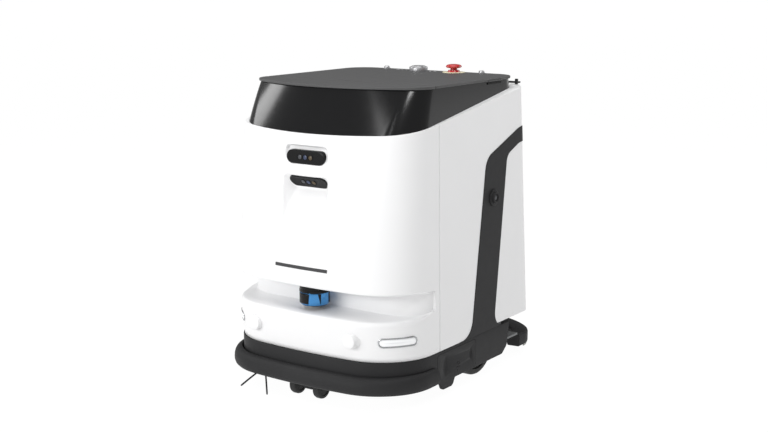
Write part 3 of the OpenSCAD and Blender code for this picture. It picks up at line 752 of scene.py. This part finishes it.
def cameras():
    """Two camera pods with three lenses each."""
    plates = {"upper": ((0, -272.0, 560), 0.0), "lower": ((0, -260.0, 502), 35.0)}
    for key, (centre, turn) in plates.items():
        plate = move(pill("camera_plate_" + key, 107, 32, 14), centre, turn)
        place(plate, "root", "camera_black", ("camera_pod_" + key,))
        for k, (dx, mat) in enumerate([(-15, MATS["lens_glass"]), (0, BLUISH), (15, AMBER)]):
            ring = [(0, 1.0), (5.4, 1.0), (5.6, -0.9), (6.4, -0.9), (6.8, -0.4), (6.8, 3.0), (0, 3.0)]
            lens = lathe("bezel_%s_%d" % (key, k), ring, (dx, 0, 0), "Y", 40)
            glass = lathe("lens_%s_%d" % (key, k),
                          [(0, 2.5), (5.5, 2.5), (5.5, 0.2), (4.2, -0.5), (2.2, -0.9), (0, -1.0)],
                          (dx, 0, 0), "Y", 32)
            place(move(lens, centre, turn), "root", "camera_black")
            names = ("camera_lenses",) if (key, k) == ("upper", 0) else ()
            place(move(glass, centre, turn), "root", "lens_glass", names, mat)


def scanner():
    """Scanning sensor in the slot: cap, blue window and its dark panels."""
    base = [(0, 283), (13, 283), (13, 264.5), (36, 264.5), (36, 262), (35, 261), (35, 253.5), (36, 252.5),
            (36, 247.5), (35.2, 246.8), (0, 246.8)]
    place(lathe("scanner_cap", base, (0, SCANNER_Y, 0), steps=96), "root", "camera_black", ("scanner_mount",))
    ring = [(30.5, 246.6), (35.3, 246.6), (35.6, 245.5), (35.4, 226), (34.6, 220.5), (32.5, 218), (30.5, 218)]
    place(lathe("scanner_window", ring, (0, SCANNER_Y, 0), steps=96), "root", "ring_blue", ("scanner_ring",))
    look = math.radians(34.8)
    for k, (low0, low1, top0, top1) in enumerate(((-74, -22, -76, -18), (24, 25, 14, 27), (66, 80, 64, 80))):
        rows = []
        for t in np.linspace(0, 1, 8):
            a0, a1 = lerp(low0, top0, t), lerp(low1, top1, t)
            row = []
            for phi in np.radians(np.linspace(a0, a1, 10)):
                nx = math.cos(phi) * math.sin(look) + math.sin(phi) * math.cos(look)
                ny = -math.cos(phi) * math.cos(look) + math.sin(phi) * math.sin(look)
                row.append((35.75 * nx, SCANNER_Y + 35.75 * ny, lerp(222.0, 246, t)))
            rows.append(row)
        panel = grid("scanner_panel_%d" % k, np.array(rows))
        solid = panel.modifiers.new("wall", "SOLIDIFY")
        solid.thickness, solid.offset = 0.6 * MM, 0
        place(panel, "root", "camera_black")


def outline_walk(z, inset=0.0):
    """Half outline of the body as points."""
    seg, u = stations({0: 60, 1: 120, 2: 60})
    x, y = body_xy(seg, u, np.full(seg.shape, float(z)), inset)
    return np.stack([x, y], 1)


def on_front(start_x, distance, z, stand):
    """Point on the cover at a distance along the outline from x = start_x, standing off by stand."""
    line, far = outline_walk(z), outline_walk(z, -10.0)
    k = int(np.searchsorted(line[:, 0], start_x))
    lengths = np.concatenate([[0], np.cumsum(np.linalg.norm(np.diff(line[k:], axis=0), axis=1))])
    p = np.array([np.interp(distance, lengths, line[k:, c]) for c in (0, 1)])
    q = np.array([np.interp(distance, lengths, far[k:, c]) for c in (0, 1)])
    n = (q - p) / np.linalg.norm(q - p)
    return np.array([*(p + n * stand), z])


def stadium(length, height, n=14):
    """Loop of (along, up) points round a slot with round ends."""
    r = height / 2
    right = [(length - r + r * math.sin(a), -r * math.cos(a)) for a in np.linspace(0, math.pi, n)]
    left = [(r - r * math.sin(a), r * math.cos(a)) for a in np.linspace(0, math.pi, n)]
    mid = [(lerp(length - r, r, t), r) for t in np.linspace(0, 1, 12)[1:-1]]
    low = [(lerp(r, length - r, t), -r) for t in np.linspace(0, 1, 12)[1:-1]]
    return right + mid + left + low


def lights():
    """Corner lights, each a metal ring round a lens."""
    start, length, height, zc = 194.0, 92.0, 20.0, 158.0
    ring = [on_front(start, s, zc + h, 0.6) for s, h in stadium(length, height)]
    lens_rows = []
    for share, stand in ((1.0, 0.2), (0.9, 1.6), (0.7, 2.3), (0.35, 2.5), (0.05, 2.5)):
        row = []
        for s, h in stadium(length - 4, height - 4):
            s2, h2 = lerp(length / 2, s + 2, 1 - (1 - share) * 0.2), h * share
            row.append(on_front(start, s2, zc + h2, stand))
        lens_rows.append(row)
    for side in (-1, 1):
        flip = np.array([side, 1, 1])
        bezel = tube("light_ring_%d" % side, np.array(ring) * flip, 1.7, closed=True, sides=10)
        place(bezel, "root", "chrome", ("light_bezels",) if side < 0 else ())
        lens = grid("light_lens_%d" % side, np.array(lens_rows) * flip, close_cols=True, caps=True)
        place(lens, "root", "light_lens", ("light_lenses",) if side < 0 else ())


def knobs():
    """Round sensor knobs on the lower front."""
    profile = [(0, 0.2), (14.4, 0.2), (15.6, 0.9), (16.2, 2.2), (16.8, 11), (17.6, 14.5),
               (20, 17), (20, 19), (0, 19)]
    for side in (-1, 1):
        knob = lathe("knob_%d" % side, profile, (side * KNOB_X, -300.5, KNOB_Z), "Y", 64)
        place(knob, "root", "white_cover", ("front_knobs",) if side < 0 else ())


def side_sensors():
    """Round sensors in the straps."""
    profile = [(0, 4.5), (8.5, 4.5), (9.2, 6.6), (10.5, 7.6), (13.2, 7.4), (14, 6), (14.4, 2.6), (19.4, 1.8),
               (20.4, 0.8), (20.6, -2), (0, -2)]
    for side in (-1, 1):
        axis = "X" if side > 0 else "-X"
        centre = (side * SENSOR_AT[0], *SENSOR_AT[1:])
        dish = lathe("side_sensor_%d" % side, profile, centre, axis, 64)
        place(dish, "root", "matte_dark", ("side_sensors",) if side < 0 else ())
        eye = lathe("sensor_eye_%d" % side, [(0, 5.4), (3, 5.3), (5.5, 4.6), (7.5, 3.4), (0, 3.4)], centre,
                    axis, 40)
        place(eye, "root", "lens_glass")


def front_mark():
    """Plain slim bar in place of lettering."""
    rows = []
    for dz, stand in ((-4, 0.1), (-3.4, 0.7), (3.4, 0.7), (4, 0.1)):
        xs = np.linspace(-82, 68, 60)
        row = []
        for x in xs:
            z = 308 + dz
            line = outline_walk(z)
            y = np.interp(abs(x), line[:61, 0], line[:61, 1])
            row.append((x, y - stand, z))
        rows.append(row)
    place(grid("front_bar", np.array(rows)), "root", "camera_black", (), MARK)


# ---------------------------------------------------------------- base
def base_shell():
    """Dark base below the covers."""
    seg, u = stations({0: 50, 1: 50, 2: 20, 3: 16})
    rows = []
    front = LOW_BOTTOM - 4
    for inset, z in ((5, BASE_BOTTOM), (1.5, BASE_BOTTOM), (0.4, BASE_BOTTOM + 1.2), (0, BASE_BOTTOM + 4),
                     (0, 72), (0, BASE_TOP - 3), (0.5, BASE_TOP - 0.8), (1.6, BASE_TOP), (5, BASE_TOP)):
        x, y = plan_xy(seg, u, BODY_HALF - inset, front + inset, 300 - inset, 140 - inset, 45 - inset,
                       LOW_BOW - inset)
        rows.append(np.stack([x, y, z + 0 * x], 1))
    obj = grid("base_shell", mirrored(np.array(rows)), close_rows=True, caps=True)
    doors = [prism_x("door_cut_%d" % s, rounded([(-118.6, 20, 0), (53.6, 20, 0), (53.6, 104.6, 10),
                                                 (-118.6, 104.6, 10)]),
                     *((244, 280) if s > 0 else (-280, -244))) for s in (-1, 1)]
    tail = prism_x("tail_cut", rounded([(178, 0, 0), (181, 33, 4), (206, 52, 18), (219, 130, 0),
                                        (420, 130, 0), (420, 0, 0)]), -SPAN, SPAN)
    for cutter in doors + [tail]:
        boolean(obj, cutter, "DIFFERENCE")
    drop(*doors, tail)
    tidy(obj, 0.02, 30)
    place(obj, "root", "matte_dark", ("base_skirt",))


def bumper():
    """Rounded bumper strip round the front."""
    seg, u = stations({0: 60, 1: 60, 2: 16})
    end_y = -121.5
    section = [(0.80, 42.0), (0.5, 38.8), (0.24, 40.0), (0.09, 44.0), (0.01, 50.0), (0.0, 57.0),
               (0.03, 63.5), (0.11, 69.5),
               (0.25, 74.4), (0.45, 77.4), (0.66, 78.8), (0.82, 79.0), (0.83, 74.0)]
    x0, y0 = plan_xy(seg, u, BUMPER_HALF, BUMPER_FRONT, 300.0, 148.0, 45.0, LOW_BOW, end_y)
    x1, y1 = plan_xy(seg, u, BODY_HALF, LOW_BOTTOM - 4, 300.0, 140.0, 45.0, LOW_BOW, end_y)
    rows = []
    for share, z in section:
        near = np.clip((y0 - (end_y - 20)) / 20, 0, 1) * (seg == 2)
        lower = 18 * (1 - np.sqrt(np.clip(1 - near ** 2, 0, 1)))
        rows.append(np.stack([lerp(x0, x1, share), lerp(y0, y1, share), np.minimum(z, 79 - lower)], 1))
    obj = grid("bumper_strip", mirrored(np.array(rows)), close_rows=True, caps=True)
    place(obj, "bumper", "rubber_dark", ("bumper",))


def doors():
    """Side doors over the roller brush, with finger dishes and plain marks."""
    outline = rounded([(-118, 33, 8), (-104, 33, 4), (-96, 15, 13), (-50, 15, 13), (-40, 33, 6),
                       (53, 33, 10), (53, 104, 10), (-118, 104, 10)], 8)
    for side in (-1, 1):
        x0, x1 = (251.5, DOOR_FACE) if side > 0 else (-DOOR_FACE, -251.5)
        door = prism_x("door_%d" % side, outline, x0, x1)
        for y, z, ry, rz in ((-84, 70, 11, 25), (30, 74, 8, 15)):
            t = np.linspace(0, 2 * math.pi, 40, endpoint=False)
            rows = []
            for share in (0.02, 0.3, 0.6, 0.85, 1.0, 1.2):
                depth = 3.2 * (1 - share ** 2)
                x = side * (DOOR_FACE - depth) + 0 * t
                rows.append(np.stack([x, y + ry * share * np.cos(t), z + rz * share * np.sin(t)], 1))
            scoop = grid("scoop", np.array(rows), close_cols=True, caps=True)
            boolean(door, scoop, "DIFFERENCE")
            drop(scoop)
        tidy(door, 0.02, 30)
        bevel(door, 0.9, 40, 3)
        name = "door_left" if side < 0 else "door_right"
        place(door, name, "matte_dark", (name,))
        marks = []
        t = np.linspace(0, 2 * math.pi, 24, endpoint=False)
        loop = np.stack([side * (DOOR_FACE + 0.1) + 0 * t, -26 + 6 * np.cos(t), 64 + 3.5 * np.sin(t)], 1)
        marks.append(tube("m", loop, 0.5, closed=True, sides=6))
        marks.append(tube("m", [(side * (DOOR_FACE + 0.1), -33 + 2 * k, 55) for k in range(8)], 0.7, sides=6))
        marks.append(lathe("m", [(0, 0.3), (2.2, 0.3), (2.2, -0.5), (0, -0.5)],
                           (side * (DOOR_FACE + 0.1), -26, 47), "X" if side > 0 else "-X", 20))
        place(join("door_marks_%d" % side, marks), name, "camera_black")


def wheels():
    """Drive wheels: tyre, hub and shaft."""
    for side, key in ((-1, "left"), (1, "right")):
        x = side * DRIVE_X
        r = DRIVE_R
        tyre = [(r - 22, -17), (r - 6, -18), (r - 1.6, -16), (r, -12), (r, 12), (r - 1.6, 16), (r - 6, 18),
                (r - 14, 18), (r - 15, 15), (r - 22, 14)]
        axis = "X" if side > 0 else "-X"
        wheel = lathe("tyre_" + key, tyre, (x, DRIVE_Y, DRIVE_R), axis, 96)
        place(wheel, "drive_wheel_" + key, "tyre_dark", ("drive_wheel_" + key,))
        hub = [(0, -19), (8, -19), (8, -17), (r - 21.5, -17), (r - 21.5, 12), (r - 26, 13.5), (34, 9),
               (24, 9), (22, 14), (14, 16), (0, 16)]
        centre = lathe("hub_" + key, hub, (x, DRIVE_Y, DRIVE_R), axis, 72)
        place(centre, "drive_wheel_" + key, "matte_dark")
        shaft = [(0, 0), (8, 0), (8, 70), (0, 70)]
        place(lathe("shaft_" + key, shaft, (x - side * 18, DRIVE_Y, DRIVE_R), "-X" if side > 0 else "X", 32),
              "drive_wheel_" + key, "steel")


def casters():
    """Front and rear caster wheels."""
    def caster(name, x, y, half, body, node):
        """One caster wheel."""
        r = CASTER_R
        profile = [(4.1, -half), (9, -half), (10, -half + 1.6), (17, -half + 1.8), (18, -half),
                   (r - 4, -half), (r - 1, -half + 1.6),
                   (r, -half + 4.5), (r, half - 4.5), (r - 1, half - 1.6), (r - 4, half), (18, half),
                   (17, half - 1.8), (10, half - 1.6), (9, half), (4.1, half)]
        wheel = lathe(name, profile, (x, y, r), "X", 72)
        place(wheel, body, "tyre_dark", (node,) if node else ())

    caster("front_roller_left", -34, -263, 9, "front_caster_wheels", "front_caster_wheels")
    caster("front_roller_right", 34, -263, 9, "front_caster_wheels", None)
    for side, key in ((-1, "left"), (1, "right")):
        caster("rear_roller_" + key, side * 100, 250, 11, "rear_wheel_" + key, "rear_caster_wheel_" + key)


def side_brush():
    """Hub and flexible bundles of the side brush."""
    bundles = []
    for angle, tip in ((-78, 22), (-48, 3.5), (102, 22), (132, 3.5)):
        a = math.radians(angle)
        out = np.array([math.cos(a), math.sin(a), 0])
        hub_at, up = np.array([BRUSH_X, BRUSH_Y, 0]), np.array([0, 0, 1])
        path = [hub_at + out * lerp(24, BRUSH_REACH, t) + up * lerp(31, tip, t ** 1.25)
                for t in np.linspace(0, 1, 14)]
        radii = [3.6, 3.2, 2.4] + [2.1] * 10 + [1.9]
        bundles.append(tube("b", path, radii, sides=12))
    place(join("brush_bundles", bundles), "side_brush", "bristle", ("side_brush_bundles",))
    hub = [(0, 23), (14, 23), (20, 24.5), (24, 28), (24.2, 36), (22, 40), (12, 42), (6, 43), (5.9, 60),
           (0, 60)]
    place(lathe("brush_hub", hub, (BRUSH_X, BRUSH_Y, 0), steps=72), "side_brush", "matte_dark",
          ("side_brush_hub",))


def roller():
    """Roller brush: core and rows of tufts."""
    core = lathe("roller_core", [(0, -213), (6, -213), (6, -205), (31, -205), (31, 205), (6, 205), (6, 213),
                                 (0, 213)],
                 (0, ROLLER_Y, ROLLER_Z), "X", 48)
    place(core, "roller_brush", "metal_frame")
    verts, faces = [], []
    for row in range(12):
        for k in range(58):
            x = -202 + 404 * k / 57
            a = 2 * math.pi * row / 12 + 0.9 * abs(x) / 202 + rng.uniform(-0.04, 0.04)
            base = len(verts)
            for rad, w in ((29.5, 2.2), (ROLLER_R - 0.3 - rng.uniform(0, 1.0), 3.2)):
                for dx, da in ((-1, -1), (1, -1), (1, 1), (-1, 1)):
                    b = a + da * w / rad
                    verts.append((x + dx * w, ROLLER_Y + rad * math.cos(b), ROLLER_Z + rad * math.sin(b)))
            faces += [[base, base + 1, base + 2, base + 3], [base + 4, base + 5, base + 6, base + 7]]
            faces += [[base + i, base + (i + 1) % 4, base + 4 + (i + 1) % 4, base + 4 + i] for i in range(4)]
    place(tidy(to_mesh("roller_tufts", verts, faces)), "roller_brush", "bristle", ("roller_brush",))


def squeegee():
    """Crescent squeegee with its blade and arms."""
    n = 96
    t = np.linspace(0, math.pi, n)

    def edge(cx, cy, rx, ry):
        """Half ellipse in plan."""
        return np.stack([cx + rx * np.cos(t), cy + ry * np.sin(t)], 1)

    outer = np.vstack([[[248, 290]], edge(0, 318, 248, 122), [[-248, 290]]])
    inner = np.vstack([[[214, 286]], edge(0, 290, 213, 112), [[-214, 286]]])
    rows = []
    z0, z1 = 24.0, 58.0
    for share, z in ((0.5, z0), (0.08, z0), (0.02, z0 + 1.5), (0.0, z0 + 5), (0.0, z1 - 7), (0.03, z1 - 3),
                     (0.1, z1 - 0.8), (0.2, z1),
                     (0.8, z1), (0.9, z1 - 0.8), (0.97, z1 - 3), (1.0, z1 - 7), (1.0, z0 + 5),
                     (0.98, z0 + 1.5), (0.92, z0)):
        xy = outer + (inner - outer) * share
        rows.append(np.column_stack([xy, np.full(len(xy), z)]))
    head = grid("squeegee_head", np.array(rows), close_rows=True, caps=True)
    place(head, "squeegee", "rubber_dark", ("squeegee",))
    strip = []
    for inset, z in ((3.0, 26), (3.0, 19.2), (5.6, 19.2), (5.6, 26)):
        strip.append(np.column_stack([edge(0, 318, 248 - inset, 122 - inset), np.full(n, z)]))
    place(grid("squeegee_blade", np.array(strip), close_rows=True, caps=True), "squeegee", "rubber_dark", (),
          BLADE)
    for side in (-1, 1):
        arm = prism_x("squeegee_arm_%d" % side,
                      rounded([(283, 34, 0), (390, 34, 0), (390, 50, 4), (297, 50, 8), (297, 104, 3),
                               (283, 104, 3)], 6),
                      *((118, 134) if side > 0 else (-134, -118)))
        bevel(arm, 1.2)
        place(arm, "squeegee", "matte_dark")


covers()
visor()
rim_lip()
top_panels()
controls()
cameras()
scanner()
lights()
knobs()
side_sensors()
front_mark()
base_shell()
bumper()
doors()
wheels()
casters()
side_brush()
roller()
squeegee()
for node_name in ("push_handle", "charge_plate", "front_deck", "rear_deck", "mid_deck", "drive_unit_left",
                  "drive_unit_right",
             "rear_caster_fork_left", "rear_caster_fork_right", "front_caster_fork", "charge_contacts",
                  "inner_frame",
             "battery", "clean_tank", "recovery_tank", "controller_box"):
    bevel(NODES[node_name], 1.0 if node_name != "push_handle" else 1.4)


# ---------------------------------------------------------------- studio
def area_light(name, direction, distance, size, power, target=(0, 0, 0.35), colour=(1, 1, 1)):
    """Soft panel seen from target in direction (azimuth, elevation); azimuth 0 is +X and -90 the front."""
    az, el = map(math.radians, direction)
    offset = Vector((math.cos(az) * math.cos(el), math.sin(az) * math.cos(el), math.sin(el))) * distance
    light = bpy.data.lights.new(name, "AREA")
    light.shape, light.size, light.size_y = "RECTANGLE", size[0], size[1]
    light.energy, light.color = power, colour
    obj = bpy.data.objects.new(name, light)
    obj.location = Vector(target) + offset
    obj.rotation_euler = (-offset).to_track_quat("-Z", "Y").to_euler()
    bpy.context.scene.collection.objects.link(obj)
    return obj


def studio():
    """Even white surroundings, a glowing floor and soft panels."""
    scene = bpy.context.scene
    world = bpy.data.worlds.new("studio")
    world.use_nodes = True
    back = world.node_tree.nodes["Background"]
    back.inputs["Color"].default_value = (1, 1, 1, 1)
    back.inputs["Strength"].default_value = 0.27
    scene.world = world
    floor = to_mesh("floor", [(-2e5, -2e5, -1), (2e5, -2e5, -1), (2e5, 2e5, -1), (-2e5, 2e5, -1)],
                    [[0, 1, 2, 3]])
    mat, _, _, bsdf = new_material("floor_white")
    bsdf.inputs["Base Color"].default_value = (0.06, 0.06, 0.06, 1)
    bsdf.inputs["Roughness"].default_value = 0.7
    bsdf.inputs["Specular IOR Level"].default_value = 0.1
    bsdf.inputs["Emission Color"].default_value = (1, 1, 1, 1)
    bsdf.inputs["Emission Strength"].default_value = 0.97
    floor.data.materials.append(mat)
    area_light("key_left", (-168, 33), 3.2, (0.8, 1.6), 20)
    area_light("front_low", (-104, 14), 3.2, (2.0, 0.5), 38)
    area_light("front_band", (-86, 31), 3.2, (0.45, 1.2), 8)
    area_light("edge_line", (-66, 30), 3.2, (0.08, 1.2), 1.6)
    area_light("right_front", (-38, 46), 3.4, (0.8, 0.5), 16)
    area_light("top", (-90, 84), 2.6, (2.2, 2.0), 38)
    area_light("rear_right", (62, 30), 3.0, (1.2, 1.2), 12)


def camera():
    """Camera for the three-quarter view from the front right."""
    azimuth, elevation = math.radians(34.8), math.radians(10.87)
    back = Vector((math.sin(azimuth) * math.cos(elevation),
                   -math.cos(azimuth) * math.cos(elevation),
                   math.sin(elevation)))
    data = bpy.data.cameras.new("camera")
    data.sensor_width, data.lens = 36.0, 60.37
    data.clip_end = 500
    obj = bpy.data.objects.new("camera", data)
    obj.location = (1.7781, -2.51974 + SHIFT_Y * MM, 0.9758)
    obj.rotation_euler = (-back).to_track_quat("-Z", "Y").to_euler()
    bpy.context.scene.collection.objects.link(obj)
    bpy.context.scene.camera = obj
    bpy.context.scene.view_settings.view_transform = "Standard"


camera()
studio()
